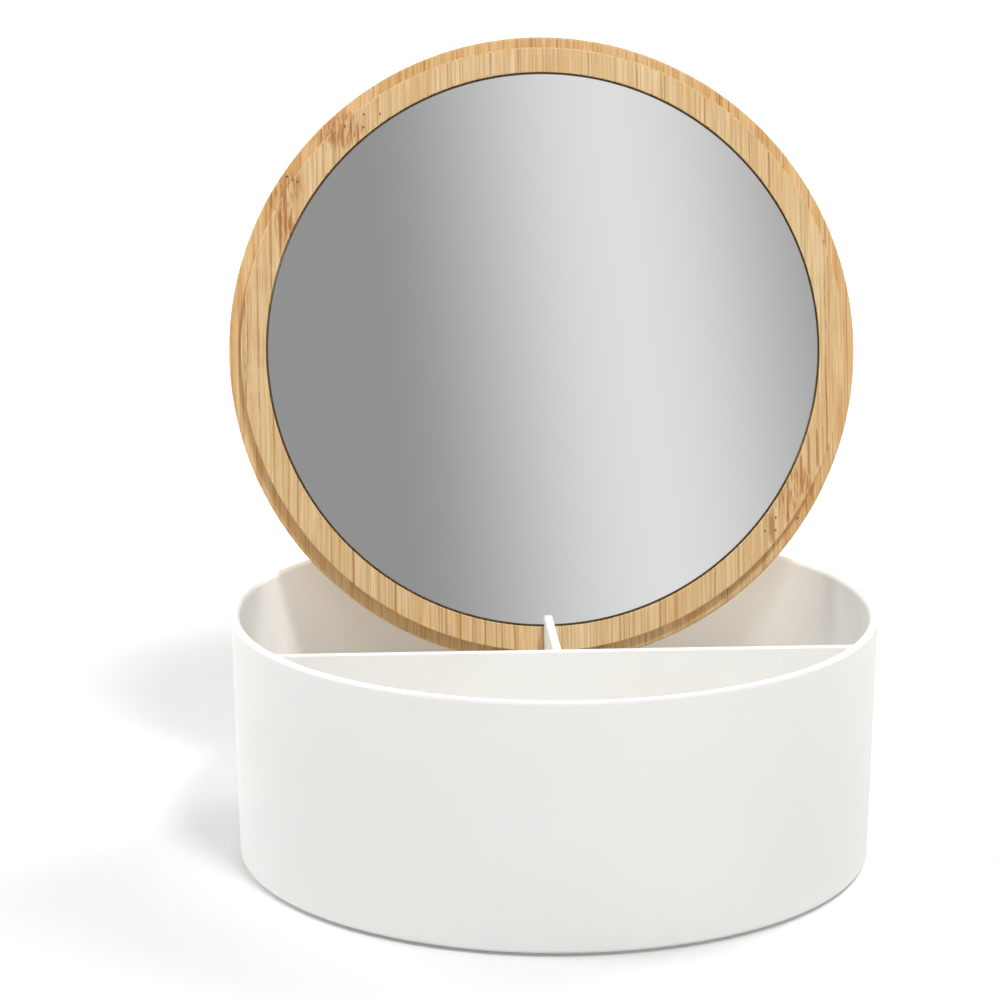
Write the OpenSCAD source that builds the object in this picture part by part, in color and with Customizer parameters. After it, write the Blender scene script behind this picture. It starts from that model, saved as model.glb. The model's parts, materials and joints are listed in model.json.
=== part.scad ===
// Round vanity box: a moulded tub with a T-shaped divider, and a bamboo lid whose
// underside carries a mirror. The lid stands in the divider's leaning slot as a mirror.
// Millimetres. Z is up, X is to the right, and the mirror faces -Y. The origin is on the
// tub's axis, on the surface that the box stands on.

/* [Tub] */
// Outer width of the tub at its rim
tub_d = 190; // [170:1:230]
// Height of the tub's moulding, without its feet
tub_h = 73; // [66:1:100]
// Lean of the wall, narrower at the base, in degrees
tub_draft = 1.25; // [0.5:0.25:2.5]
// Thickness of the wall
wall = 2.5; // [2.2:0.1:3.5]
// Thickness of the floor over the recess
floor_t = 2.5; // [2:0.1:4]
// Rounding of the rim's two edges
rim_round = 1; // [0.5:0.1:1.1]
// Rounding of the outer edge at the base
base_round = 1.2; // [0.6:0.1:2]
// Fillet inside, between the wall and the floor
floor_fillet = 3; // [1.5:0.5:5]
// Width of the flat ring under the base
base_ring = 20; // [18:1:30]
// Depth of the recess inside that ring
recess_depth = 0.8; // [0.4:0.1:1.2]

/* [Feet] */
// Width of a foot pad
foot_d = 10; // [6:0.5:12]
// Thickness of a foot pad
foot_t = 1.5; // [1.2:0.1:2.5]
// Depth of the pocket that a pad sits in
foot_pocket = 0.5; // [0.2:0.1:0.7]
// Gap round a pad in its pocket
pocket_gap = 0.2; // [0.1:0.05:0.4]
// Distance from the edge of the base to the middle of a pad
foot_inset = 10; // [8:0.5:12]

/* [Divider] */
// Thickness of the divider's walls
divider_t = 2.6; // [1.8:0.1:3.2]
// Rounding of the walls' top edges
top_round = 0.5; // [0.2:0.1:0.8]
// Depth of the divider's top below the rim
divider_drop = 9; // [6:0.5:14]
// Distance of the cross wall in front of the tub's axis
cross_setback = 14; // [8:0.5:20]
// Gap between the divider and the tub's wall and rails
divider_gap = 0.2; // [0.1:0.05:0.4]
// Length of a rail that holds an end of a divider wall
rail_l = 4; // [3:0.5:6]
// Thickness of a rail
rail_t = 1.6; // [1.2:0.1:2.4]
// Depth of a rail's top below the divider's top
rail_drop = 3; // [1:0.5:8]

/* [Slot for the standing lid] */
// Lean of the standing lid, from upright, in degrees
lean = 14.7; // [8:0.1:18]
// Place of the standing lid's face behind the axis, at the divider's top
slot_y = 24.3; // [18:0.1:30]
// Depth of the slot below the divider's top, along the lean
slot_depth = 14.6; // [10:0.1:18]
// Gap between the lid and each side of the slot
slot_gap = 0.3; // [0.2:0.05:0.5]
// Half angle of the curved seat under the lid, in degrees
seat_angle = 11; // [8:0.5:14]
// Height of the lip that stands in front of the flange
lip_h = 2.5; // [1.5:0.1:3.2]

/* [Lid] */
// How far the flange stands out past the tub's rim
lid_overhang = 0; // [0:0.1:1.5]
// Thickness of the lid's flange
flange_t = 6; // [4:0.25:9]
// Height of the raised disc that fits inside the rim
plug_t = 4; // [3.5:0.25:5.5]
// Gap between the raised disc and the tub's wall when the lid is shut
plug_gap = 1.1; // [0.5:0.1:2]
// Rounding of the flange's edges
flange_round = 0.8; // [0.3:0.1:1.5]
// Rounding of the raised disc's edge
plug_round = 0.6; // [0.2:0.1:1]

/* [Mirror] */
// Width of the bamboo border around the mirror's recess
border_w = 7.5; // [6:0.5:30]
// Gap around the glass in its recess
mirror_gap = 0.4; // [0.2:0.1:0.8]
// Thickness of the mirror glass
mirror_t = 2; // [1.6:0.1:2.4]
// Depth of the glass below the lid's face
mirror_sink = 0.3; // [0.1:0.1:0.8]
// Thickness of the adhesive sheet behind the glass
tape_t = 0.5; // [0.3:0.1:0.8]
// Distance from the glass's edge to the adhesive sheet's edge
tape_inset = 8; // [2:0.5:40]

/* [Hidden] */
$fn = 180;
arc_steps = 6;

base_z = foot_t - foot_pocket;
rim_z = base_z + tub_h;
floor_z = base_z + recess_depth + floor_t;
divider_top = rim_z - divider_drop;

rim_r = tub_d / 2;
base_r = wall_r_out(base_z);
foot_ring_r = base_r - foot_inset;

lid_r = rim_r + lid_overhang;
lid_t = flange_t + plug_t;
plug_r = wall_r_in(rim_z - plug_t) - plug_gap;
recess_r = plug_r - border_w;
recess_t = mirror_sink + mirror_t + tape_t;
mirror_r = recess_r - mirror_gap;
tape_r = mirror_r - tape_inset;

seat_r = lid_r + slot_gap;
slot_back = lid_t + slot_gap;
axis_rise = lid_r - slot_depth;
bite = divider_t / 4;
far = 2 * tub_d;

// Outer and inner radius of the tub's wall at a height.
function wall_r_out(z) = rim_r - (rim_z - z) * tan(tub_draft);
function wall_r_in(z) = wall_r_out(z) - wall;

// Points of an arc about [x, y], from angle a0 to angle a1.
function arc(x, y, r, a0, a1) =
    [for (i = [0 : arc_steps]) let (a = a0 + (a1 - a0) * i / arc_steps)
        [x + r * cos(a), y + r * sin(a)]];

// The fillet between the floor and the wall, the wall drawn in by a gap, from the floor up.
function floor_arc(gap) =
    arc(wall_r_in(floor_z + floor_fillet) - floor_fillet - gap, floor_z + floor_fillet,
        floor_fillet, -90, 0);

// The tub's section: recessed base, outer wall, rim, inner wall and floor.
module tub_section() {
    polygon(concat(
        [[0, base_z + recess_depth], [base_r - base_ring, base_z + recess_depth],
         [base_r - base_ring, base_z]],
        arc(wall_r_out(base_z + base_round) - base_round, base_z + base_round,
            base_round, -90, 0),
        arc(rim_r - rim_round, rim_z - rim_round, rim_round, 0, 90),
        arc(rim_r - wall + rim_round, rim_z - rim_round, rim_round, 90, 180),
        [for (i = [arc_steps : -1 : 0]) floor_arc(0)[i]],
        [[0, floor_z]]));
}

// The room inside the tub, drawn in by a gap, up to a height.
module inner_room(gap, top) {
    rotate_extrude()
        polygon(concat([[0, floor_z]], floor_arc(gap), [[wall_r_in(top) - gap, top], [0, top]]));
}

// Two rails that hold the end of a divider wall, on a wall that runs along +X.
module rail_pair(reach) {
    side = divider_t / 2 + divider_gap;
    for (y = [side, -side - rail_t])
        translate([reach - rail_l, y, 0])
            cube([rail_l + wall, rail_t, divider_top - rail_drop]);
}

// The rails at the cross wall's two ends and at the middle wall's back end.
module rails() {
    cross_reach = sqrt(pow(wall_r_in(floor_z), 2) - pow(cross_setback, 2));
    intersection() {
        inner_room(-wall / 2, rim_z);
        union() {
            translate([0, -cross_setback, 0])
                for (turn = [0, 180]) rotate([0, 0, turn]) rail_pair(cross_reach);
            rotate([0, 0, 90]) rail_pair(wall_r_in(floor_z));
        }
    }
}

module tub() {
    color("whitesmoke")
        difference() {
            union() {
                rotate_extrude() tub_section();
                rails();
            }
            for (i = [0 : 3])
                at_foot(i) cylinder(r = foot_d / 2 + pocket_gap, h = base_z + foot_pocket);
        }
}

// Section of a divider wall, standing on the X axis, with its top edges rounded.
module wall_section() {
    half = divider_t / 2;
    polygon(concat(
        [[half, 0]],
        arc(half - top_round, divider_top - top_round, top_round, 0, 90),
        arc(top_round - half, divider_top - top_round, top_round, 90, 180),
        [[-half, 0]]));
}

// The standing lid's own axes: Z up along the lean, the mirror facing -Y.
module in_slot() {
    translate([0, slot_y, divider_top]) rotate([-lean, 0, 0]) children();
}

// A shape turned about the standing lid's axis, from its face backwards.
module about_lid_axis() {
    in_slot() translate([0, 0, axis_rise]) rotate([-90, 0, 0]) children();
}

// The curved seat under the lid, a groove for the flange with a lip in front. Its back
// end reaches into the back rest.
module seat() {
    lip_front = -slot_gap - divider_t / 2;
    lip_back = plug_t - slot_gap;
    back = slot_back + bite;
    about_lid_axis()
        rotate([0, 0, 90 - seat_angle])
            rotate_extrude(angle = 2 * seat_angle)
                polygon([
                    [seat_r - lip_h, lip_front], [seat_r + divider_t, lip_front],
                    [seat_r + divider_t, back], [seat_r, back],
                    [seat_r, lip_back], [seat_r - lip_h, lip_back]]);
}

// The plate that the standing lid leans back on. Its lower edge is just below the seat.
module back_rest() {
    rest_r = seat_r + divider_t + 2 * bite;
    half = rest_r * sin(seat_angle);
    in_slot() translate([-half, slot_back, axis_rise - rest_r]) cube([2 * half, divider_t, far]);
}

// The cut for the lid in the middle wall. It reaches into the seat and the back rest.
module slot_cut() {
    in_slot()
        translate([-divider_t, -slot_gap, axis_rise - seat_r - 2 * bite])
            cube([2 * divider_t, slot_back + slot_gap + 2 * bite, far]);
}

module divider() {
    color("white")
        intersection() {
            inner_room(divider_gap, divider_top);
            union() {
                translate([-far / 2, -cross_setback, 0])
                    rotate([90, 0, 90]) linear_extrude(far) wall_section();
                difference() {
                    translate([0, -cross_setback, 0])
                        rotate([90, 0, 180]) linear_extrude(far) wall_section();
                    slot_cut();
                }
                seat();
                back_rest();
            }
        }
}

module lid_board() {
    color("burlywood")
        about_lid_axis()
            rotate_extrude()
                polygon(concat(
                    [[0, recess_t], [recess_r, recess_t], [recess_r, 0]],
                    arc(plug_r - plug_round, plug_round, plug_round, -90, 0),
                    [[plug_r, plug_t]],
                    arc(lid_r - flange_round, plug_t + flange_round, flange_round, -90, 0),
                    arc(lid_r - flange_round, lid_t - flange_round, flange_round, 0, 90),
                    [[0, lid_t]]));
}

module mirror_glass() {
    color("silver")
        about_lid_axis() translate([0, 0, mirror_sink]) cylinder(r = mirror_r, h = mirror_t);
}

module mirror_tape() {
    color("dimgray")
        about_lid_axis()
            translate([0, 0, mirror_sink + mirror_t]) cylinder(r = tape_r, h = tape_t);
}

// Places a shape at one of the four feet: front left, front right, back left, back right.
module at_foot(i) {
    angle = [225, 315, 135, 45][i];
    translate([foot_ring_r * cos(angle), foot_ring_r * sin(angle), 0]) children();
}

module foot(i) {
    color("gainsboro") at_foot(i) cylinder(r = foot_d / 2, h = foot_t);
}

tub();
divider();
lid_board();
mirror_glass();
mirror_tape();
foot(0);  // foot_front_left
foot(1);  // foot_front_right
foot(2);  // foot_back_left
foot(3);  // foot_back_right
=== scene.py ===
import json
import math

import bmesh
import bpy
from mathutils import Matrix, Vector


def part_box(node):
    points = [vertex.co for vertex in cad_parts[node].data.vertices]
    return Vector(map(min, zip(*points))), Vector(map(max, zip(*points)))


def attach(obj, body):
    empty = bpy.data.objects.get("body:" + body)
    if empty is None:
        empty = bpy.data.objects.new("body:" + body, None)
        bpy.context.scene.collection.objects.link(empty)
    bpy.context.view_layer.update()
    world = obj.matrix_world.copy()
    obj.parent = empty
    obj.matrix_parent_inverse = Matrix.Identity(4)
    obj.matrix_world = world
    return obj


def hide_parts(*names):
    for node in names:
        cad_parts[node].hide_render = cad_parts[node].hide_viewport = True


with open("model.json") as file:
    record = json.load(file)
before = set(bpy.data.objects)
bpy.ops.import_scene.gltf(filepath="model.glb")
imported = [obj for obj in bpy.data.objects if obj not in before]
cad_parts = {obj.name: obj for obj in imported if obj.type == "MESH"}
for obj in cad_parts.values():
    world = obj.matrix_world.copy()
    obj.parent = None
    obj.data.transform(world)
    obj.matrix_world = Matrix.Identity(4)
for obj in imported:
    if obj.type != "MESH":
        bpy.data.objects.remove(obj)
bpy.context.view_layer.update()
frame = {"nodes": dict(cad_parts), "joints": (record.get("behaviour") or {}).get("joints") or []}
print("frame loaded:", sorted(frame["nodes"]))

mm = 0.001
nodes = frame["nodes"]
tubLow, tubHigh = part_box("tub")
footLow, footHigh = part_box("foot_front_left")
lift = next(joint for joint in frame["joints"] if joint["name"] == "lid_lift")
lidUp = Vector(lift["axis"]).normalized()  # up along the standing lid
lidBack = Vector((0, lidUp.z, -lidUp.y))   # from the mirror's face backwards
lidLean = math.atan2(lidUp.y, lidUp.z)


# Small helpers for node trees

def wire(tree, value, socket):
    if isinstance(value, bpy.types.NodeSocket):
        tree.links.new(value, socket)
    else:
        socket.default_value = value


def addNode(tree, kind, inputs=None, **settings):
    made = tree.nodes.new(kind)
    for name, value in settings.items():
        setattr(made, name, value)
    for key, value in (inputs or {}).items():
        wire(tree, value, made.inputs[key])
    return made


def calc(tree, operation, *values):
    return addNode(tree, "ShaderNodeMath", dict(enumerate(values)), operation=operation).outputs[0]


def vectorCalc(tree, operation, *values):
    made = addNode(tree, "ShaderNodeVectorMath", dict(enumerate(values)), operation=operation)
    return made.outputs["Value" if operation in ("LENGTH", "DOT_PRODUCT") else "Vector"]


def joinXyz(tree, x, y, z):
    return addNode(tree, "ShaderNodeCombineXYZ", {0: x, 1: y, 2: z}).outputs[0]


def splitXyz(tree, place):
    return tuple(addNode(tree, "ShaderNodeSeparateXYZ", {0: place}).outputs)


def mixColor(tree, share, first, second):
    mixed = addNode(tree, "ShaderNodeMix", {0: share, 6: first, 7: second}, data_type="RGBA")
    return mixed.outputs[2]


def mixValue(tree, share, first, second):
    return addNode(tree, "ShaderNodeMix", {0: share, 2: first, 3: second}).outputs[0]


def fromMask(tree, mask, low, spread):
    return calc(tree, "ADD", low, calc(tree, "MULTIPLY", mask, spread))


def ramp(tree, value, low, high, smooth=True):
    return addNode(tree, "ShaderNodeMapRange", {"Value": value, 1: low, 2: high},
                   interpolation_type="SMOOTHSTEP" if smooth else "LINEAR").outputs[0]


def addSockets(tree, inputs, outputs):
    for name, kind in inputs.items():
        tree.interface.new_socket(name, in_out="INPUT", socket_type="NodeSocket" + kind)
    for name, kind in outputs.items():
        tree.interface.new_socket(name, in_out="OUTPUT", socket_type="NodeSocket" + kind)
    return tree.nodes.new("NodeGroupInput").outputs, tree.nodes.new("NodeGroupOutput").inputs


# Geometry Nodes: a section turned round an axis

def makeLatheTree():
    tree = bpy.data.node_groups.new("turnSection", "GeometryNodeTree")
    given, result = addSockets(
        tree,
        {"Section": "Geometry", "Segments": "Int", "Sweep Radius": "Float",
         "Closing Distance": "Float", "Sharp Angle": "Float"},
        {"Mesh": "Geometry"})
    sweep = given["Sweep Radius"]
    x, y, _ = splitXyz(tree, addNode(tree, "GeometryNodeInputPosition").outputs[0])
    # a swept profile has its X outwards and its Y downwards, so the section is turned to suit
    suited = joinXyz(tree, calc(tree, "SUBTRACT", x, sweep), calc(tree, "MULTIPLY", y, -1), 0)
    section = addNode(tree, "GeometryNodeSetPosition",
                      {"Geometry": given["Section"], "Position": suited}).outputs[0]
    ring = addNode(tree, "GeometryNodeCurvePrimitiveCircle",
                   {"Resolution": given["Segments"], "Radius": sweep}).outputs["Curve"]
    swept = addNode(tree, "GeometryNodeCurveToMesh",
                    {"Curve": ring, "Profile Curve": section}).outputs[0]
    closed = addNode(tree, "GeometryNodeMergeByDistance",
                     {"Geometry": swept, "Distance": given["Closing Distance"]}).outputs[0]
    outwards = addNode(tree, "GeometryNodeFlipFaces", {"Mesh": closed}).outputs[0]
    smooth = addNode(tree, "GeometryNodeSetShadeSmooth",
                     {"Geometry": outwards, "Shade Smooth": True}, domain="FACE").outputs[0]
    turn = addNode(tree, "GeometryNodeInputMeshEdgeAngle").outputs["Unsigned Angle"]
    corner = calc(tree, "GREATER_THAN", turn, given["Sharp Angle"])
    creased = addNode(tree, "GeometryNodeSetShadeSmooth",
                      {"Geometry": smooth, "Selection": corner, "Shade Smooth": False},
                      domain="EDGE")
    wire(tree, creased.outputs[0], result["Mesh"])
    return tree


latheTree = makeLatheTree()
lathe = {"Sweep Radius": 1 * mm, "Closing Distance": 0.004 * mm, "Sharp Angle": math.radians(35)}


def pickByIndex(tree, kind, values):
    pick = addNode(tree, "GeometryNodeIndexSwitch", data_type=kind)
    while len(pick.index_switch_items) < len(values):
        pick.index_switch_items.new()
    wire(tree, addNode(tree, "GeometryNodeInputIndex").outputs[0], pick.inputs["Index"])
    for number, value in enumerate(values):
        wire(tree, value, pick.inputs[number + 1])
    return pick.outputs[0]


def turnedSection(tree, given, corners):
    # corners are (radius, height, rounding), and may be sockets or numbers
    places = [joinXyz(tree, radius, height, 0) for radius, height, _ in corners]
    points = addNode(tree, "GeometryNodePoints", {"Count": len(corners),
                     "Position": pickByIndex(tree, "VECTOR", places)}).outputs[0]
    line = addNode(tree, "GeometryNodePointsToCurves", {"Points": points}).outputs[0]
    rounding = pickByIndex(tree, "FLOAT", [rounding for _, _, rounding in corners])
    rounded = addNode(tree, "GeometryNodeFilletCurve",
                      {"Curve": line, "Count": given["Corner Steps"], "Radius": rounding},
                      mode="POLY").outputs[0]
    return addNode(tree, "GeometryNodeGroup",
                   {"Section": rounded, "Segments": given["Segments"], **lathe},
                   node_tree=latheTree).outputs[0]


def startTree(name, sizes):
    tree = bpy.data.node_groups.new(name, "GeometryNodeTree")
    kinds = {size: "Int" if isinstance(value, int) else "Float" for size, value in sizes.items()}
    given, result = addSockets(tree, {**kinds, "Material": "Material"}, {"Geometry": "Geometry"})
    return tree, given, result


def endTree(tree, given, result, geometry):
    solid = addNode(tree, "GeometryNodeRealizeInstances", {"Geometry": geometry}).outputs[0]
    painted = addNode(tree, "GeometryNodeSetMaterial",
                      {"Geometry": solid, "Material": given["Material"]})
    wire(tree, painted.outputs[0], result["Geometry"])


def growPiece(name, tree, sizes, material, edges=None):
    # runs the tree on an empty mesh and keeps the result as a plain mesh at the origin
    seed = bpy.data.objects.new(name + "Seed", bpy.data.meshes.new(name + "Seed"))
    bpy.context.scene.collection.objects.link(seed)
    grow = seed.modifiers.new("grow", "NODES")
    grow.node_group = tree
    values = {**sizes, "Material": material}
    for item in tree.interface.items_tree:
        if item.in_out == "INPUT" and item.name in values:
            grow[item.identifier] = values[item.name]
    if edges:
        softenEdges(seed, edges)
    seed.modifiers.new("even", "WEIGHTED_NORMAL").keep_sharp = True
    return keepResult(name, seed)


def softenEdges(piece, edges):
    # edges that turn by more than the sharper angle get a small round of the given width
    soften = piece.modifiers.new("soften", "BEVEL")
    soften.width = edges["width"]
    soften.segments = edges["steps"]
    soften.limit_method = "ANGLE"
    soften.angle_limit = edges["sharper"]


def keepResult(name, seed):
    # what the seed's modifiers make becomes a plain mesh of its own, and the seed goes
    bpy.context.view_layer.update()
    evaluated = seed.evaluated_get(bpy.context.evaluated_depsgraph_get())
    mesh = bpy.data.meshes.new_from_object(evaluated)
    mesh.name = name
    bpy.data.objects.remove(seed)
    piece = bpy.data.objects.new(name, mesh)
    bpy.context.scene.collection.objects.link(piece)
    check = bmesh.new()
    check.from_mesh(mesh)
    openEdges = sum(1 for edge in check.edges if not edge.is_manifold)
    volume = check.calc_volume(signed=True) * 1e6
    check.free()
    print(f"{name}: {len(mesh.polygons)} faces, {openEdges} open edges, {volume:.2f} cm3")
    return piece


# Materials: shared effects are groups, and each finish has its own shader

def makeMouldedGroup():
    tree = bpy.data.node_groups.new("mouldedFinish", "ShaderNodeTree")
    given, result = addSockets(
        tree,
        {"Position": "Vector", "Tint": "Color", "Shade": "Color", "Grain Size": "Float",
         "Flow Size": "Float", "Gloss Low": "Float", "Gloss High": "Float"},
        {"Color": "Color", "Roughness": "Float", "Height": "Float"})
    flow = addNode(tree, "ShaderNodeTexNoise",
                   {"Vector": given["Position"], "Detail": 3.0, "Roughness": 0.5,
                    "Scale": calc(tree, "DIVIDE", 1, given["Flow Size"])}).outputs["Fac"]
    grain = addNode(tree, "ShaderNodeTexNoise",
                    {"Vector": given["Position"], "Detail": 2.0, "Roughness": 0.6,
                     "Scale": calc(tree, "DIVIDE", 1, given["Grain Size"])}).outputs["Fac"]
    # noise keeps mostly to the middle of its range, so that part is drawn out
    soft = ramp(tree, flow, 0.35, 0.65)
    mixed = calc(tree, "MULTIPLY", calc(tree, "ADD", soft, grain), 0.5)
    gloss = addNode(tree, "ShaderNodeMapRange",
                    {"Value": mixed, 1: 0.2, 2: 0.8,
                     3: given["Gloss Low"], 4: given["Gloss High"]})
    wire(tree, mixColor(tree, soft, given["Tint"], given["Shade"]), result["Color"])
    wire(tree, gloss.outputs[0], result["Roughness"])
    wire(tree, grain, result["Height"])
    return tree


def startMaterial(name):
    material = bpy.data.materials.new(name)
    material.use_nodes = True
    tree = material.node_tree
    return material, tree, tree.nodes["Principled BSDF"].inputs


def ownPlace(tree, shift=(0, 0, 0), turn=(0, 0, 0)):
    # Object coordinates, shifted and then turned
    own = addNode(tree, "ShaderNodeTexCoord").outputs["Object"]
    moved = addNode(tree, "ShaderNodeMapping", {"Vector": own, "Location": shift}).outputs[0]
    return addNode(tree, "ShaderNodeMapping", {"Vector": moved, "Rotation": turn}).outputs[0]


def bump(tree, height, distance):
    return addNode(tree, "ShaderNodeBump",
                   {"Height": height, "Distance": distance, "Strength": 1.0}).outputs[0]


def makePlastic(name, finish):
    material, tree, skin = startMaterial(name)
    moulded = addNode(tree, "ShaderNodeGroup",
                      {"Position": ownPlace(tree),
                       "Tint": finish["tint"], "Shade": finish["shade"],
                       "Grain Size": finish["grainSize"], "Flow Size": finish["flowSize"],
                       "Gloss Low": finish["glossLow"], "Gloss High": finish["glossHigh"]},
                      node_tree=mouldedGroup).outputs
    wire(tree, moulded["Color"], skin["Base Color"])
    wire(tree, moulded["Roughness"], skin["Roughness"])
    wire(tree, bump(tree, moulded["Height"], finish["grainDepth"]), skin["Normal"])
    skin["IOR"].default_value = finish["bend"]
    return material


mouldedGroup = makeMouldedGroup()

plasticFinish = {
    "tint": (0.920, 0.914, 0.890, 1), "shade": (0.910, 0.902, 0.873, 1),
    "grainSize": 0.35 * mm, "grainDepth": 0.012 * mm, "flowSize": 60 * mm,
    "glossLow": 0.46, "glossHigh": 0.56, "bend": 1.45,
}
tubPlastic = makePlastic("tubPlastic", plasticFinish)
dividerPlastic = makePlastic("dividerPlastic", {**plasticFinish, "flowSize": 45 * mm})
rubberFinish = {
    "tint": (0.62, 0.62, 0.60, 1), "shade": (0.56, 0.56, 0.54, 1),
    "grainSize": 0.5 * mm, "grainDepth": 0.03 * mm, "flowSize": 8 * mm,
    "glossLow": 0.62, "glossHigh": 0.75, "bend": 1.45,
}
footRubber = makePlastic("footRubber", rubberFinish)
print("plastics made")


bambooFinish = {
    "pale": (0.87, 0.66, 0.378, 1), "honey": (0.645, 0.373, 0.130, 1),
    "line": (0.33, 0.125, 0.022, 1), "knot": (0.40, 0.13, 0.024, 1),
    "pore": (0.09, 0.038, 0.016, 1), "bend": 1.45,
    # the strips that the board is glued from, and its plies
    "strip": 19 * mm, "stripStart": -79 * mm, "stripShift": 0.37, "stripTone": 0.20,
    "layer": 3.4 * mm, "layerStride": 17, "glueHalf": 0.3 * mm, "glueDark": 0.40,
    "discPly": 3.6 * mm, "plyTone": 0.15,
    # grain: how wide and long its noise is drawn, the noise at which its honey begins and is
    # full, and its share of the whole
    "fibre": {"size": (0.7 * mm, 18 * mm), "detail": 2.0, "seed": 0.0,
              "shows": (0.32, 0.68), "share": 0.40},
    "cord": {"size": (1.6 * mm, 60 * mm), "detail": 1.0, "seed": 3.1,
             "shows": (0.38, 0.64), "share": 0.30},
    "patch": {"size": (9 * mm, 50 * mm), "detail": 1.0, "seed": 7.7,
              "shows": (0.35, 0.65), "share": 0.14},
    # thin dark lines, one to each spacing, and what they have in common
    "hair": {"spacing": 1.25 * mm, "width": 0.27 * mm, "dark": 0.62, "seed": 2.0},
    "vein": {"spacing": 4.0 * mm, "width": 0.38 * mm, "dark": 0.95, "seed": 5.0},
    "lineStart": 0.2, "lineSpread": 0.6, "lineSway": 0.35, "lineCore": 0.3, "linePower": 1.3,
    "lineRun": 40 * mm, "lineStride": 7.3, "lineShows": (0.30, 0.48), "lineDark": 0.85,
    "glossLow": 0.44, "glossSpread": 0.16,
    "reliefDepth": 0.03 * mm, "lineRelief": 0.8, "poreRelief": 1.5,
    # the bamboo's joints on the front: across, up, half width and half height in mm
    "joints": [(-79, 50, 8, 7), (-61, 67, 10, 7), (-78, 40, 4, 8), (76, -45, 8, 9)],
    "jointFade": (1.15, 0.55), "jointTone": 0.20,
    # the same on the back, one to a strip
    "backJoints": [(-70, -18, 10, 4), (-31, 46, 10, 4), (7, -60, 10, 4), (45, 14, 10, 4),
                   (83, -30, 9, 4)],
    "backFade": (1.05, 0.6), "backStart": 7.5 * mm,
    "streak": {"size": (0.5 * mm, 4.5 * mm), "detail": 1.5, "seed": 11.3, "shows": (0.48, 0.60)},
    "streakTone": 0.70,
    # single reddish marks, whose ends are frayed, and then the pores' middles
    "fray": {"size": (0.35 * mm, 5 * mm), "detail": 1.0, "seed": 21.0}, "frayReach": 3.0,
    "marks": [(68.3, -54.8, 1.0, 4.6), (-59.8, 65.6, 0.5, 3.5), (-57.3, 66.6, 0.45, 4),
              (-55.2, 65, 0.4, 3), (-63.2, 64.6, 0.35, 3), (-77.4, 43, 0.5, 8), (-79, 37, 0.4, 7),
              (-75.9, 36, 0.35, 5), (-81.6, 47, 0.4, 4), (80, -33, 0.4, 6), (82.6, -31, 0.35, 5),
              (77.6, -37, 0.4, 4), (73.4, -49, 0.35, 4)],
    "markFade": (1.15, 0.75), "markTone": 0.72,
    "pores": [(-53.4, 71.4), (-48.5, 71.5), (-59.1, 67.8), (-53.5, 67.5), (-75.1, 51.9),
              (-76.7, 53.2), (-73.7, 51.2), (66.2, -56), (69.5, -55.8), (69.6, -52),
              (76.8, -52.2)],
    "poreRadius": 0.34, "poreTall": 1.25, "poreFade": (1.3, 0.5), "poreTone": 0.85,
    # the rim's end grain, which fades in between two insets from the rim and two steepnesses
    "rimRadius": 95 * mm, "rimFade": (0.8 * mm, 0.3 * mm), "rimSteep": (0.35, 0.80),
    "bundle": 0.8 * mm, "bundleDot": (0.42, 0.15), "endHoney": 0.30, "endDark": 0.40,
}


def fibreNoise(tree, place, grain):
    # noise drawn out along the fibres, which run up the board
    width, length = grain["size"]
    stretched = vectorCalc(tree, "MULTIPLY", place, (1 / width, 1 / width, 1 / length))
    return addNode(tree, "ShaderNodeTexNoise",
                   {"Vector": stretched, "W": grain["seed"], "Scale": 1.0,
                    "Detail": grain["detail"], "Roughness": 0.55},
                   noise_dimensions="4D").outputs["Fac"]


def honeyShare(tree, noise, grain):
    return calc(tree, "MULTIPLY", ramp(tree, noise, *grain["shows"]), grain["share"])


def grainLines(tree, across, up, layer, finish, kind):
    # one thin dark line to a cell, each with its own place, strength and length
    spacing, width, seed = kind["spacing"], kind["width"], kind["seed"]
    cells = calc(tree, "DIVIDE", across, spacing)
    cell = calc(tree, "FLOOR", cells)
    draw = addNode(tree, "ShaderNodeTexWhiteNoise",
                   {"Vector": joinXyz(tree, cell, calc(tree, "ADD", layer, seed), seed)},
                   noise_dimensions="3D").outputs["Color"]
    chance = addNode(tree, "ShaderNodeSeparateColor", {0: draw}).outputs
    along = joinXyz(tree, calc(tree, "MULTIPLY", cell, finish["lineStride"]), layer,
                    calc(tree, "DIVIDE", up, finish["lineRun"]))
    run = addNode(tree, "ShaderNodeTexNoise",
                  {"Vector": along, "Scale": 1.0, "Detail": 1.0}).outputs["Fac"]
    sway = calc(tree, "MULTIPLY", calc(tree, "SUBTRACT", run, 0.5), finish["lineSway"])
    start = fromMask(tree, chance[0], finish["lineStart"], finish["lineSpread"])
    middle = calc(tree, "ADD", start, sway)
    off = calc(tree, "ABSOLUTE", calc(tree, "SUBTRACT", calc(tree, "FRACT", cells), middle))
    line = ramp(tree, calc(tree, "MULTIPLY", off, spacing), width, width * finish["lineCore"])
    strength = calc(tree, "MULTIPLY", calc(tree, "POWER", chance[1], finish["linePower"]),
                    ramp(tree, run, *finish["lineShows"]))
    return calc(tree, "MULTIPLY", calc(tree, "MULTIPLY", line, strength), kind["dark"])


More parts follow.
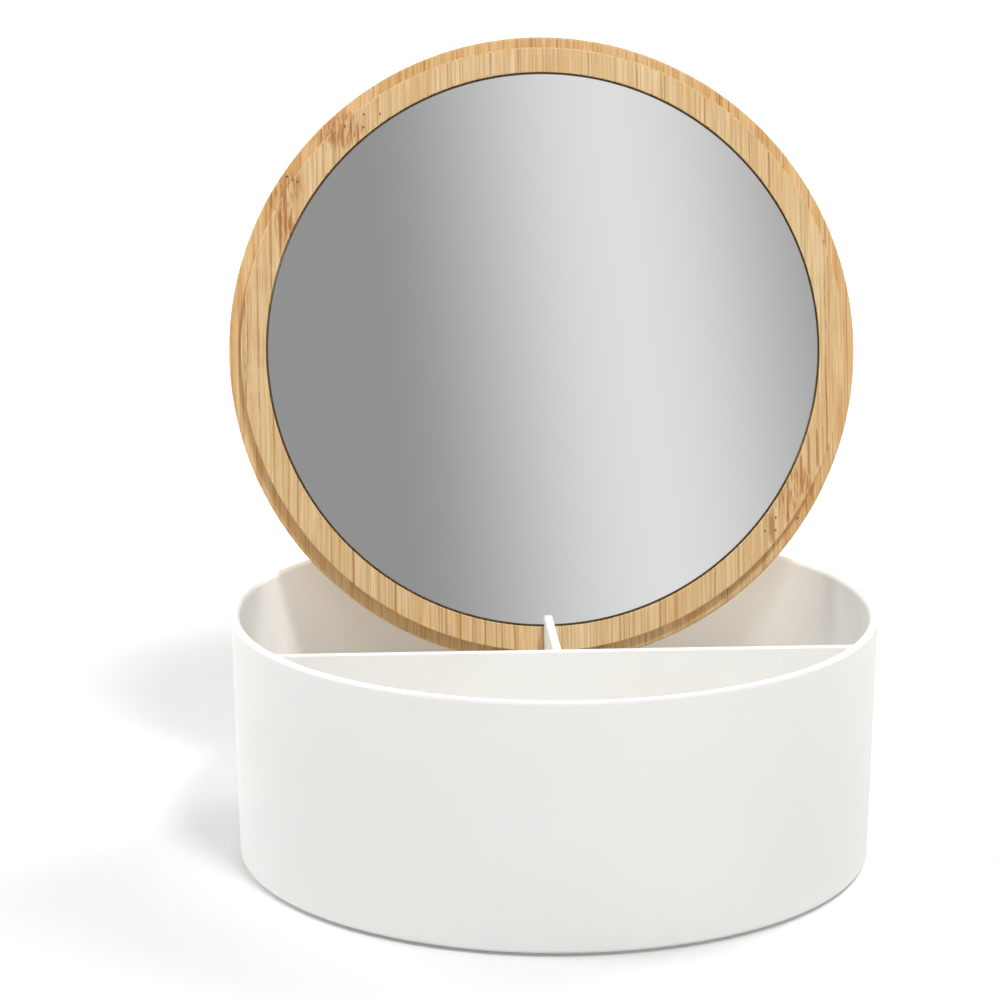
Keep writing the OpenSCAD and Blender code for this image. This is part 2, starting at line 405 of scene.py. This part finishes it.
def nearPlaces(tree, across, up, places, fade, fray=None):
    # 1 inside any of the ovals, which are (across, up, half width, half height) in millimetres
    # with a fray they are upright bars instead, whose ends it breaks up
    near = None
    for x, z, halfWidth, halfHeight in places:
        right = calc(tree, "DIVIDE", calc(tree, "SUBTRACT", across, x * mm), halfWidth * mm)
        above = calc(tree, "DIVIDE", calc(tree, "SUBTRACT", up, z * mm), halfHeight * mm)
        if fray is None:
            off = vectorCalc(tree, "LENGTH", joinXyz(tree, right, 0, above))
        else:
            off = calc(tree, "MAXIMUM", calc(tree, "ABSOLUTE", right),
                       calc(tree, "ADD", calc(tree, "ABSOLUTE", above), fray))
        inside = ramp(tree, off, *fade)
        near = inside if near is None else calc(tree, "MAXIMUM", near, inside)
    return near


def makeBambooGroup(finish):
    tree = bpy.data.node_groups.new("bambooBoard", "ShaderNodeTree")
    given, result = addSockets(
        tree,
        {"Position": "Vector", "Pale": "Color", "Honey": "Color", "Line": "Color",
         "Knot": "Color", "Pore": "Color"},
        {"Color": "Color", "Roughness": "Float", "Height": "Float"})
    place = given["Position"]
    across, depth, up = splitXyz(tree, place)
    layer = calc(tree, "FLOOR", calc(tree, "DIVIDE", depth, finish["layer"]))
    strips = calc(tree, "SUBTRACT", across, finish["stripStart"])
    strips = calc(tree, "DIVIDE", strips, finish["strip"])
    strips = calc(tree, "ADD", strips, calc(tree, "MULTIPLY", layer, finish["stripShift"]))
    label = calc(tree, "ADD", calc(tree, "FLOOR", strips),
                 calc(tree, "MULTIPLY", layer, finish["layerStride"]))
    tone = addNode(tree, "ShaderNodeTexWhiteNoise", {"W": label},
                   noise_dimensions="1D").outputs["Value"]
    edge = calc(tree, "ABSOLUTE", calc(tree, "SUBTRACT", calc(tree, "FRACT", strips), 0.5))
    glue = ramp(tree, edge, 0.5 - finish["glueHalf"] / finish["strip"], 0.5)

    # honey and pale wood by fibre, cord, patch and strip
    fine = fibreNoise(tree, place, finish["fibre"])
    body = honeyShare(tree, fine, finish["fibre"])
    for grain in (finish["cord"], finish["patch"]):
        body = calc(tree, "ADD", body, honeyShare(tree, fibreNoise(tree, place, grain), grain))
    body = calc(tree, "ADD", body, calc(tree, "MULTIPLY", tone, finish["stripTone"]))
    # the ply behind the raised disc is a little deeper in colour
    behindDisc = calc(tree, "GREATER_THAN", depth, finish["discPly"])
    body = calc(tree, "ADD", body, calc(tree, "MULTIPLY", behindDisc, finish["plyTone"]))
    wood = mixColor(tree, body, given["Pale"], given["Honey"])

    # dark lines: hairs, veins and the glue between strips
    lines = calc(tree, "MAXIMUM", grainLines(tree, across, up, layer, finish, finish["hair"]),
                 grainLines(tree, across, up, layer, finish, finish["vein"]))
    lines = calc(tree, "MAXIMUM", lines, calc(tree, "MULTIPLY", glue, finish["glueDark"]))
    wood = mixColor(tree, calc(tree, "MULTIPLY", lines, finish["lineDark"]), wood, given["Line"])

    # the bamboo's joints, where short reddish streaks gather
    behind = calc(tree, "GREATER_THAN", depth, finish["backStart"])
    joint = mixValue(tree, behind,
                     nearPlaces(tree, across, up, finish["joints"], finish["jointFade"]),
                     nearPlaces(tree, across, up, finish["backJoints"], finish["backFade"]))
    streak = ramp(tree, fibreNoise(tree, place, finish["streak"]), *finish["streak"]["shows"])
    streaks = calc(tree, "MULTIPLY", calc(tree, "MULTIPLY", streak, joint), finish["streakTone"])
    wood = mixColor(tree, calc(tree, "MULTIPLY", joint, finish["jointTone"]), wood, given["Honey"])
    wood = mixColor(tree, streaks, wood, given["Knot"])

    # single marks and pores, on the front alone
    inFront = calc(tree, "LESS_THAN", depth, finish["backStart"])
    fray = calc(tree, "SUBTRACT", fibreNoise(tree, place, finish["fray"]), 0.5)
    fray = calc(tree, "MULTIPLY", fray, finish["frayReach"])
    marks = nearPlaces(tree, across, up, finish["marks"], finish["markFade"], fray)
    marks = calc(tree, "MULTIPLY", calc(tree, "MULTIPLY", marks, inFront), finish["markTone"])
    wood = mixColor(tree, marks, wood, given["Knot"])
    dots = [(x, z, finish["poreRadius"], finish["poreRadius"] * finish["poreTall"])
            for x, z in finish["pores"]]
    pores = nearPlaces(tree, across, up, dots, finish["poreFade"])
    pores = calc(tree, "MULTIPLY", pores, inFront)
    wood = mixColor(tree, calc(tree, "MULTIPLY", pores, finish["poreTone"]), wood, given["Pore"])

    # end grain shows as small dots where the rim cuts across the fibres
    radius = vectorCalc(tree, "LENGTH", joinXyz(tree, across, 0, up))
    steep = ramp(tree, calc(tree, "DIVIDE", calc(tree, "ABSOLUTE", up), radius),
                 *finish["rimSteep"])
    fadeIn, full = (finish["rimRadius"] - inset for inset in finish["rimFade"])
    cut = calc(tree, "MULTIPLY", steep, ramp(tree, radius, fadeIn, full))
    flat = vectorCalc(tree, "MULTIPLY", place, (1 / finish["bundle"], 1 / finish["bundle"], 0))
    bundle = addNode(tree, "ShaderNodeTexVoronoi",
                     {"Vector": flat, "Scale": 1.0}).outputs["Distance"]
    ends = calc(tree, "MULTIPLY", ramp(tree, bundle, *finish["bundleDot"]), cut)
    wood = mixColor(tree, calc(tree, "MULTIPLY", cut, finish["endHoney"]), wood, given["Honey"])
    wood = mixColor(tree, calc(tree, "MULTIPLY", ends, finish["endDark"]), wood, given["Line"])

    wire(tree, wood, result["Color"])
    dull = fromMask(tree, fine, finish["glossLow"], finish["glossSpread"])
    wire(tree, dull, result["Roughness"])
    relief = calc(tree, "SUBTRACT", fine, calc(tree, "MULTIPLY", lines, finish["lineRelief"]))
    relief = calc(tree, "SUBTRACT", relief, calc(tree, "MULTIPLY", pores, finish["poreRelief"]))
    wire(tree, relief, result["Height"])
    return tree


glassLow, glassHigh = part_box("mirror_glass")
mirror = {"Radius": glassHigh.x, "Glass": 2 * mm, "Sink": 0.3 * mm, "Arris": 0.25 * mm,
          "Segments": 192, "Corner Steps": 3}
# the middle of the lid's face, from which its shapes and patterns are laid out
lidFace = (glassLow + glassHigh) / 2 - lidBack * (mirror["Sink"] + mirror["Glass"] / 2)


def makeBamboo(finish):
    material, tree, skin = startMaterial("bamboo")
    # across, depth and up on the board, from the middle of its face
    place = ownPlace(tree, shift=-lidFace, turn=(lidLean, 0, 0))
    board = addNode(tree, "ShaderNodeGroup",
                    {"Position": place, "Pale": finish["pale"], "Honey": finish["honey"],
                     "Line": finish["line"], "Knot": finish["knot"], "Pore": finish["pore"]},
                    node_tree=makeBambooGroup(finish)).outputs
    wire(tree, board["Color"], skin["Base Color"])
    wire(tree, board["Roughness"], skin["Roughness"])
    wire(tree, bump(tree, board["Height"], finish["reliefDepth"]), skin["Normal"])
    skin["IOR"].default_value = finish["bend"]
    return material


mirrorFinish = {
    "silver": [(0.93, 0.94, 0.935, 1), (0.95, 0.955, 0.95, 1)], "cloudScale": 18.0,
    # painted shade: the glass's ground edge is coloured dark brown, standing in for the shade in
    # the gap round the mirror
    "paintedEdgeShade": [(0.075, 0.06, 0.045, 1), (0.13, 0.11, 0.085, 1)], "groundScale": 2500.0,
    "polish": 0.012, "polishSpread": 0.012, "groundGloss": 0.75,
    # the silvered face fades out between these two insets from the glass's rim, and is this deep;
    # outside it the rim takes the painted edge shade
    "insetOut": 0.24 * mm, "insetIn": 0.30 * mm, "silverDepth": 0.1 * mm,
}


def makeMirrorSilver(finish):
    material, tree, skin = startMaterial("mirrorSilver")
    place = ownPlace(tree, shift=-lidFace, turn=(lidLean, 0, 0))
    across, depth, up = splitXyz(tree, place)
    radius = vectorCalc(tree, "LENGTH", joinXyz(tree, across, 0, up))
    rim = mirror["Radius"]
    inside = ramp(tree, radius, rim - finish["insetOut"], rim - finish["insetIn"])
    front = calc(tree, "LESS_THAN", depth, mirror["Sink"] + finish["silverDepth"])
    silvered = calc(tree, "MULTIPLY", inside, front)
    cloud = addNode(tree, "ShaderNodeTexNoise",
                    {"Vector": place, "Scale": finish["cloudScale"], "Detail": 3.0}).outputs["Fac"]
    paintedEdgeShade = addNode(tree, "ShaderNodeTexNoise",
                     {"Vector": place, "Scale": finish["groundScale"]}).outputs["Fac"]
    face = mixColor(tree, cloud, *finish["silver"])
    # painted shade: the glass's rim is dark brown, as the gap round the mirror looks in shade
    edge = mixColor(tree, paintedEdgeShade, *finish["paintedEdgeShade"])
    wire(tree, mixColor(tree, silvered, edge, face), skin["Base Color"])
    wire(tree, silvered, skin["Metallic"])
    polish = fromMask(tree, cloud, finish["polish"], finish["polishSpread"])
    wire(tree, mixValue(tree, silvered, finish["groundGloss"], polish), skin["Roughness"])
    return material


tapeFinish = {
    "dark": (0.10, 0.10, 0.10, 1), "pale": (0.20, 0.20, 0.195, 1), "foamScale": 1800.0,
    "glossLow": 0.7, "glossSpread": 0.2, "foamDepth": 0.05 * mm,
}


def makeTape(finish):
    material, tree, skin = startMaterial("tapeFoam")
    foam = addNode(tree, "ShaderNodeTexNoise",
                   {"Vector": ownPlace(tree), "Scale": finish["foamScale"],
                    "Detail": 3.0}).outputs["Fac"]
    dull = fromMask(tree, foam, finish["glossLow"], finish["glossSpread"])
    wire(tree, mixColor(tree, foam, finish["dark"], finish["pale"]), skin["Base Color"])
    wire(tree, dull, skin["Roughness"])
    wire(tree, bump(tree, foam, finish["foamDepth"]), skin["Normal"])
    return material


bamboo = makeBamboo(bambooFinish)
mirrorSilver = makeMirrorSilver(mirrorFinish)
tapeFoam = makeTape(tapeFinish)
print("bamboo, silver and tape made")


# The tub: a turned shell with four pockets for its feet

tub = {
    "Rim Radius": tubHigh.x, "Base Height": tubLow.z, "Rim Height": tubHigh.z,
    "Draft": math.radians(1.25), "Wall": 2.5 * mm, "Floor": 2.5 * mm, "Rim Rounding": 1.2 * mm,
    "Base Rounding": 1.2 * mm, "Floor Fillet": 3 * mm, "Ring Width": 20 * mm, "Recess": 0.8 * mm,
    "Ring Rounding": 0.3 * mm, "Foot Ring": (footLow.x + footHigh.x) / 2,
    "Pocket Radius": 5.2 * mm, "Pocket Depth": footHigh.z - tubLow.z, "Pocket Sides": 48,
    "Segments": 256, "Corner Steps": 7,
}


def growTub():
    tree, given, result = startTree("turnedTub", tub)
    rim, base, top = given["Rim Radius"], given["Base Height"], given["Rim Height"]
    slope = calc(tree, "TANGENT", given["Draft"])
    lean = calc(tree, "MULTIPLY", calc(tree, "SUBTRACT", top, base), slope)
    baseRadius = calc(tree, "SUBTRACT", rim, lean)
    recessTop = calc(tree, "ADD", base, given["Recess"])
    floorHeight = calc(tree, "ADD", recessTop, given["Floor"])
    drop = calc(tree, "MULTIPLY", calc(tree, "SUBTRACT", top, floorHeight), slope)
    floorRadius = calc(tree, "SUBTRACT", calc(tree, "SUBTRACT", rim, drop), given["Wall"])
    ring = calc(tree, "SUBTRACT", baseRadius, given["Ring Width"])
    shell = turnedSection(tree, given, [
        (0, recessTop, 0), (ring, recessTop, given["Ring Rounding"]),
        (ring, base, given["Ring Rounding"]), (baseRadius, base, given["Base Rounding"]),
        (rim, top, given["Rim Rounding"]),
        (calc(tree, "SUBTRACT", rim, given["Wall"]), top, given["Rim Rounding"]),
        (floorRadius, floorHeight, given["Floor Fillet"]), (0, floorHeight, 0)])
    pocket = addNode(tree, "GeometryNodeMeshCylinder",
                     {"Vertices": given["Pocket Sides"], "Radius": given["Pocket Radius"],
                      "Depth": calc(tree, "MULTIPLY", given["Pocket Depth"], 2)}).outputs["Mesh"]
    pockets = addNode(tree, "GeometryNodeRealizeInstances",
                      {"Geometry": atFeet(tree, given["Foot Ring"], pocket, base)}).outputs[0]
    cut = addNode(tree, "GeometryNodeMeshBoolean", {"Mesh 1": shell, "Mesh 2": pockets},
                  operation="DIFFERENCE", solver="EXACT")
    endTree(tree, given, result, cut.outputs[0])
    return growPiece("tub_shell", tree, tub, tubPlastic)


def atFeet(tree, reach, shape, height):
    # copies of a shape at the four feet, which stand at plus and minus reach
    corners = [(1, 1), (-1, 1), (-1, -1), (1, -1)]
    places = [joinXyz(tree, calc(tree, "MULTIPLY", reach, x), calc(tree, "MULTIPLY", reach, y),
                      height) for x, y in corners]
    points = addNode(tree, "GeometryNodePoints", {"Count": len(corners),
                     "Position": pickByIndex(tree, "VECTOR", places)}).outputs[0]
    return addNode(tree, "GeometryNodeInstanceOnPoints",
                   {"Points": points, "Instance": shape}).outputs[0]


tubShell = growTub()
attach(tubShell, "box")
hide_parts("tub")
print("tub turned")


# The rails that hold the divider's three ends

dividerLow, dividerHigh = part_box("divider")
rails = {
    "Length": 4 * mm, "Thickness": 1.6 * mm, "Side": 1.5 * mm, "Setback": 14 * mm,
    "Bottom": dividerLow.z - 1 * mm, "Top": dividerHigh.z - 3 * mm,
    "Reach": 92.9 * mm, "Wall Radius": 90.979 * mm,
}
railEdges = {"width": 0.3 * mm, "steps": 3, "sharper": math.radians(40)}


def growRails():
    tree, given, result = startTree("dividerRails", rails)
    height = calc(tree, "SUBTRACT", given["Top"], given["Bottom"])
    middle = calc(tree, "ADD", given["Bottom"], calc(tree, "MULTIPLY", height, 0.5))
    squares = calc(tree, "SUBTRACT", calc(tree, "POWER", given["Wall Radius"], 2),
                   calc(tree, "POWER", given["Setback"], 2))
    crossReach = calc(tree, "SQRT", squares)
    spare = calc(tree, "SUBTRACT", given["Reach"], given["Wall Radius"])
    length = calc(tree, "ADD", given["Length"], spare)
    rail = addNode(tree, "GeometryNodeMeshCube",
                   {"Size": joinXyz(tree, length, given["Thickness"], height)}).outputs["Mesh"]
    offset = calc(tree, "ADD", given["Side"], calc(tree, "MULTIPLY", given["Thickness"], 0.5))
    inward = calc(tree, "MULTIPLY", calc(tree, "SUBTRACT", spare, given["Length"]), 0.5)
    pair = addNode(tree, "GeometryNodeJoinGeometry")
    for side in (1, -1):
        place = joinXyz(tree, inward, calc(tree, "MULTIPLY", offset, side), middle)
        moved = addNode(tree, "GeometryNodeTransform", {"Geometry": rail, "Translation": place})
        tree.links.new(moved.outputs[0], pair.inputs[0])
    back = calc(tree, "MULTIPLY", given["Setback"], -1)
    places = [joinXyz(tree, crossReach, back, 0),
              joinXyz(tree, calc(tree, "MULTIPLY", crossReach, -1), back, 0),
              joinXyz(tree, 0, given["Wall Radius"], 0)]
    turns = [(0, 0, 0), (0, 0, math.pi), (0, 0, math.pi / 2)]
    ends = addNode(tree, "GeometryNodePoints", {"Count": len(places),
                   "Position": pickByIndex(tree, "VECTOR", places)}).outputs[0]
    placed = addNode(tree, "GeometryNodeInstanceOnPoints",
                     {"Points": ends, "Instance": pair.outputs[0],
                      "Rotation": pickByIndex(tree, "VECTOR", turns)}).outputs[0]
    endTree(tree, given, result, placed)
    return growPiece("tub_rails", tree, rails, tubPlastic, railEdges)


tubRails = growRails()
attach(tubRails, "box")
print("rails set")


# The divider keeps the CAD's shape, with its doubles merged and its edges softened

divider = {"width": 0.22 * mm, "steps": 3, "sharper": math.radians(38),
           "doubles": 0.002 * mm, "flatter": math.radians(0.6)}


def softenedCopy(name, node, sizes, material):
    shape = bmesh.new()
    shape.from_mesh(nodes[node].data)
    bmesh.ops.remove_doubles(shape, verts=shape.verts, dist=sizes["doubles"])
    bmesh.ops.dissolve_limit(shape, angle_limit=sizes["flatter"],
                             verts=shape.verts, edges=shape.edges)
    for face in shape.faces:
        face.smooth = True
    mesh = bpy.data.meshes.new(name)
    shape.to_mesh(mesh)
    shape.free()
    seed = bpy.data.objects.new(name + "Seed", mesh)
    bpy.context.scene.collection.objects.link(seed)
    softenEdges(seed, sizes)
    seed.modifiers.new("even", "WEIGHTED_NORMAL")
    piece = keepResult(name, seed)
    piece.data.materials.clear()
    piece.data.materials.append(material)
    return piece


tDivider = softenedCopy("t_divider", "divider", divider, dividerPlastic)
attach(tDivider, "box")
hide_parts("divider")
print("divider softened")


# The feet: four turned pads

feet = {
    "Radius": (footHigh.x - footLow.x) / 2, "Thickness": footHigh.z, "Rounding": 0.3 * mm,
    "Foot Ring": tub["Foot Ring"], "Segments": 64, "Corner Steps": 4,
}


def growFeet():
    tree, given, result = startTree("turnedFeet", feet)
    radius, top = given["Radius"], given["Thickness"]
    pad = turnedSection(tree, given, [
        (0, 0, 0), (radius, 0, given["Rounding"]), (radius, top, given["Rounding"]), (0, top, 0)])
    endTree(tree, given, result, atFeet(tree, given["Foot Ring"], pad, 0))
    return growPiece("foot_pads", tree, feet, footRubber)


footPads = growFeet()
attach(footPads, "box")
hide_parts("foot_front_left", "foot_front_right", "foot_back_left", "foot_back_right")
print("feet set")


# The lid: a turned bamboo board, its mirror and the tape behind it

board = {
    "Lid Radius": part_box("lid_board")[1].x, "Thickness": 10 * mm, "Lid Rounding": 0.8 * mm,
    "Disc Radius": 91.313 * mm, "Disc Height": 4 * mm, "Disc Rounding": 0.4 * mm,
    "Recess Radius": 83.813 * mm, "Recess Depth": 2.8 * mm, "Recess Rounding": 0.35 * mm,
    "Step Fillet": 0.2 * mm, "Recess Fillet": 0.1 * mm, "Segments": 256, "Corner Steps": 6,
}


def ontoLid(tree, shape):
    # a shape turned about Z goes to the standing lid's axis, with its Z backwards
    return addNode(tree, "GeometryNodeTransform",
                   {"Geometry": shape, "Translation": lidFace,
                    "Rotation": (-math.pi / 2 - lidLean, 0, 0)}).outputs[0]


def growBoard():
    tree, given, result = startTree("turnedLid", board)
    lid, disc, step = given["Lid Radius"], given["Disc Radius"], given["Disc Height"]
    recess, depth, back = given["Recess Radius"], given["Recess Depth"], given["Thickness"]
    shape = turnedSection(tree, given, [
        (0, depth, 0), (recess, depth, given["Recess Fillet"]),
        (recess, 0, given["Recess Rounding"]),
        (disc, 0, given["Disc Rounding"]), (disc, step, given["Step Fillet"]),
        (lid, step, given["Lid Rounding"]), (lid, back, given["Lid Rounding"]), (0, back, 0)])
    endTree(tree, given, result, ontoLid(tree, shape))
    return growPiece("bamboo_lid", tree, board, bamboo)


def growMirror():
    tree, given, result = startTree("turnedMirror", mirror)
    radius, front = given["Radius"], given["Sink"]
    back = calc(tree, "ADD", front, given["Glass"])
    shape = turnedSection(tree, given, [
        (0, front, 0), (radius, front, given["Arris"]), (radius, back, given["Arris"]),
        (0, back, 0)])
    endTree(tree, given, result, ontoLid(tree, shape))
    return growPiece("round_mirror", tree, mirror, mirrorSilver)


bambooLid = growBoard()
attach(bambooLid, "lid")
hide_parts("lid_board")
roundMirror = growMirror()
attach(roundMirror, "lid")
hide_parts("mirror_glass")
nodes["mirror_tape"].data.materials.clear()
nodes["mirror_tape"].data.materials.append(tapeFoam)
print("lid, mirror and tape set")


# Floor and the card that the mirror shows

studio = {
    "floorHalf": 4.0, "floorPaint": (0.70, 0.70, 0.70, 1),
    # the floor's glow, near a point by the object and further away
    "glowAround": (-0.05, 0.08, 0), "nearReach": 0.15, "farReach": 1.0,
    "glowNear": 0.16, "glowFar": 1.0,
    "cardDistance": 2.2, "cardHalfWidth": 3.0, "cardTop": 3.0,
    "bandAcross": 0.257, "bandHeight": 0.865, "bandTilt": -0.083,
    "bandHalf": 0.25, "bandSpacing": 1.0, "bandDark": 0.30, "bandBright": 0.765,
}


def addPlane(name, corners, material):
    mesh = bpy.data.meshes.new(name)
    mesh.from_pydata(corners, [], [(0, 1, 2, 3)])
    mesh.materials.append(material)
    plane = bpy.data.objects.new(name, mesh)
    bpy.context.scene.collection.objects.link(plane)
    return plane


def clearTree(owner):
    owner.use_nodes = True
    owner.node_tree.nodes.clear()
    return owner.node_tree


def seenRays(tree):
    # 1 for rays that look at a surface, straight or in a reflection, and 0 for rays that light it
    rays = addNode(tree, "ShaderNodeLightPath").outputs
    looks = calc(tree, "MAXIMUM", rays["Is Camera Ray"], rays["Is Glossy Ray"])
    return calc(tree, "MAXIMUM", looks, rays["Is Transmission Ray"])


def makeFloorPaint():
    material = bpy.data.materials.new("floorPaint")
    tree = clearTree(material)
    paint = addNode(tree, "ShaderNodeBsdfDiffuse", {"Color": studio["floorPaint"]}).outputs[0]
    # the shown floor is lifted to white, and further away from the object it glows more
    own = addNode(tree, "ShaderNodeTexCoord").outputs["Object"]
    far = vectorCalc(tree, "LENGTH", vectorCalc(tree, "SUBTRACT", own, studio["glowAround"]))
    glow = mixValue(tree, ramp(tree, far, studio["nearReach"], studio["farReach"], False),
                    studio["glowNear"], studio["glowFar"])
    lit = addNode(tree, "ShaderNodeEmission", {"Color": (1, 1, 1, 1),
                  "Strength": calc(tree, "MULTIPLY", seenRays(tree), glow)}).outputs[0]
    both = addNode(tree, "ShaderNodeAddShader", {0: paint, 1: lit}).outputs[0]
    addNode(tree, "ShaderNodeOutputMaterial", {"Surface": both})
    return material


def makeCardPaint():
    # grey with soft bright bands, which lean a little
    material = bpy.data.materials.new("cardPaint")
    tree = clearTree(material)
    x, _, z = splitXyz(tree, addNode(tree, "ShaderNodeTexCoord").outputs["Object"])
    above = calc(tree, "SUBTRACT", z, studio["bandHeight"])
    lean = calc(tree, "MULTIPLY", above, studio["bandTilt"])
    off = calc(tree, "SUBTRACT", calc(tree, "SUBTRACT", x, studio["bandAcross"]), lean)
    turns = calc(tree, "ADD", calc(tree, "DIVIDE", off, studio["bandSpacing"]), 0.5)
    nearest = calc(tree, "SUBTRACT", calc(tree, "FRACT", turns), 0.5)
    nearest = calc(tree, "ABSOLUTE", calc(tree, "MULTIPLY", nearest, studio["bandSpacing"]))
    level = mixValue(tree, ramp(tree, nearest, studio["bandHalf"], 0),
                     studio["bandDark"], studio["bandBright"])
    lit = addNode(tree, "ShaderNodeEmission", {"Strength": level}).outputs[0]
    addNode(tree, "ShaderNodeOutputMaterial", {"Surface": lit})
    return material


half = studio["floorHalf"]
addPlane("floor", [(-half, -half, 0), (half, -half, 0), (half, half, 0), (-half, half, 0)],
         makeFloorPaint())
away, side, top = -studio["cardDistance"], studio["cardHalfWidth"], studio["cardTop"]
cardCorners = [(side, away, 0), (-side, away, 0), (-side, away, top), (side, away, top)]
card = addPlane("gradientCard", cardCorners, makeCardPaint())
card.visible_camera = False
card.visible_diffuse = False
card.visible_shadow = False
card.visible_transmission = False


# Light: a dim world that looks white, a key from the upper right, and soft fills all round

def setWorld(strength):
    world = bpy.data.worlds.new("studioWorld")
    bpy.context.scene.world = world
    tree = clearTree(world)
    level = mixValue(tree, seenRays(tree), strength, 1.0)
    sky = addNode(tree, "ShaderNodeBackground",
                  {"Color": (1, 1, 1, 1), "Strength": level}).outputs[0]
    addNode(tree, "ShaderNodeOutputWorld", {"Surface": sky})


def addLamp(name, place, size, watts, glossy=False):
    lamp = bpy.data.lights.new(name, "AREA")
    lamp.shape = "DISK"
    lamp.size = size
    lamp.energy = watts
    made = bpy.data.objects.new(name, lamp)
    bpy.context.scene.collection.objects.link(made)
    made.location = place
    made.rotation_euler = (lampAim - Vector(place)).to_track_quat("-Z", "Y").to_euler()
    made.visible_glossy = glossy
    made.visible_camera = False
    return made


worldLevel = 0.06
lampAim = Vector((0, 0, 0.08))
lamps = {
    "key": {"place": (0.36, -1.00, 1.60), "size": 0.40, "watts": 18.5, "glossy": True},
    "front": {"place": (0, -1.90, 0.60), "size": 1.2, "watts": 6.8},
    "left": {"place": (-1.80, 0.20, 0.90), "size": 1.0, "watts": 10.5},
    "right": {"place": (1.80, 0.20, 0.90), "size": 1.0, "watts": 2.5},
    "highLeft": {"place": (-1.15, 0.10, 1.40), "size": 0.7, "watts": 5.5},
    "backLeft": {"place": (-1.30, 1.20, 1.00), "size": 1.0, "watts": 13.5},
    "backRight": {"place": (1.30, 1.20, 1.00), "size": 1.0, "watts": 12.5},
    "highBackRight": {"place": (0.95, 0.65, 1.40), "size": 0.7, "watts": 9},
}
setWorld(worldLevel)
for name, lamp in lamps.items():
    addLamp(name + "Lamp", **lamp)
print("stage and lamps set")


# Camera: at the photograph's place

view = {"place": (-0.078917, -1.049285, 0.366117), "pitch": 0.2417, "pan": 0.0599,
        "lens": 133.27, "sensor": 36, "nearest": 0.01}
cameraData = bpy.data.cameras.new("camera")
cameraData.lens = view["lens"]
cameraData.sensor_width = view["sensor"]
cameraData.clip_start = view["nearest"]
camera = bpy.data.objects.new("camera", cameraData)
bpy.context.scene.collection.objects.link(camera)
camera.location = view["place"]
camera.rotation_euler = (math.pi / 2 - view["pitch"], 0, -view["pan"])
bpy.context.scene.camera = camera
bpy.context.scene.view_settings.view_transform = "Standard"
print("camera set")
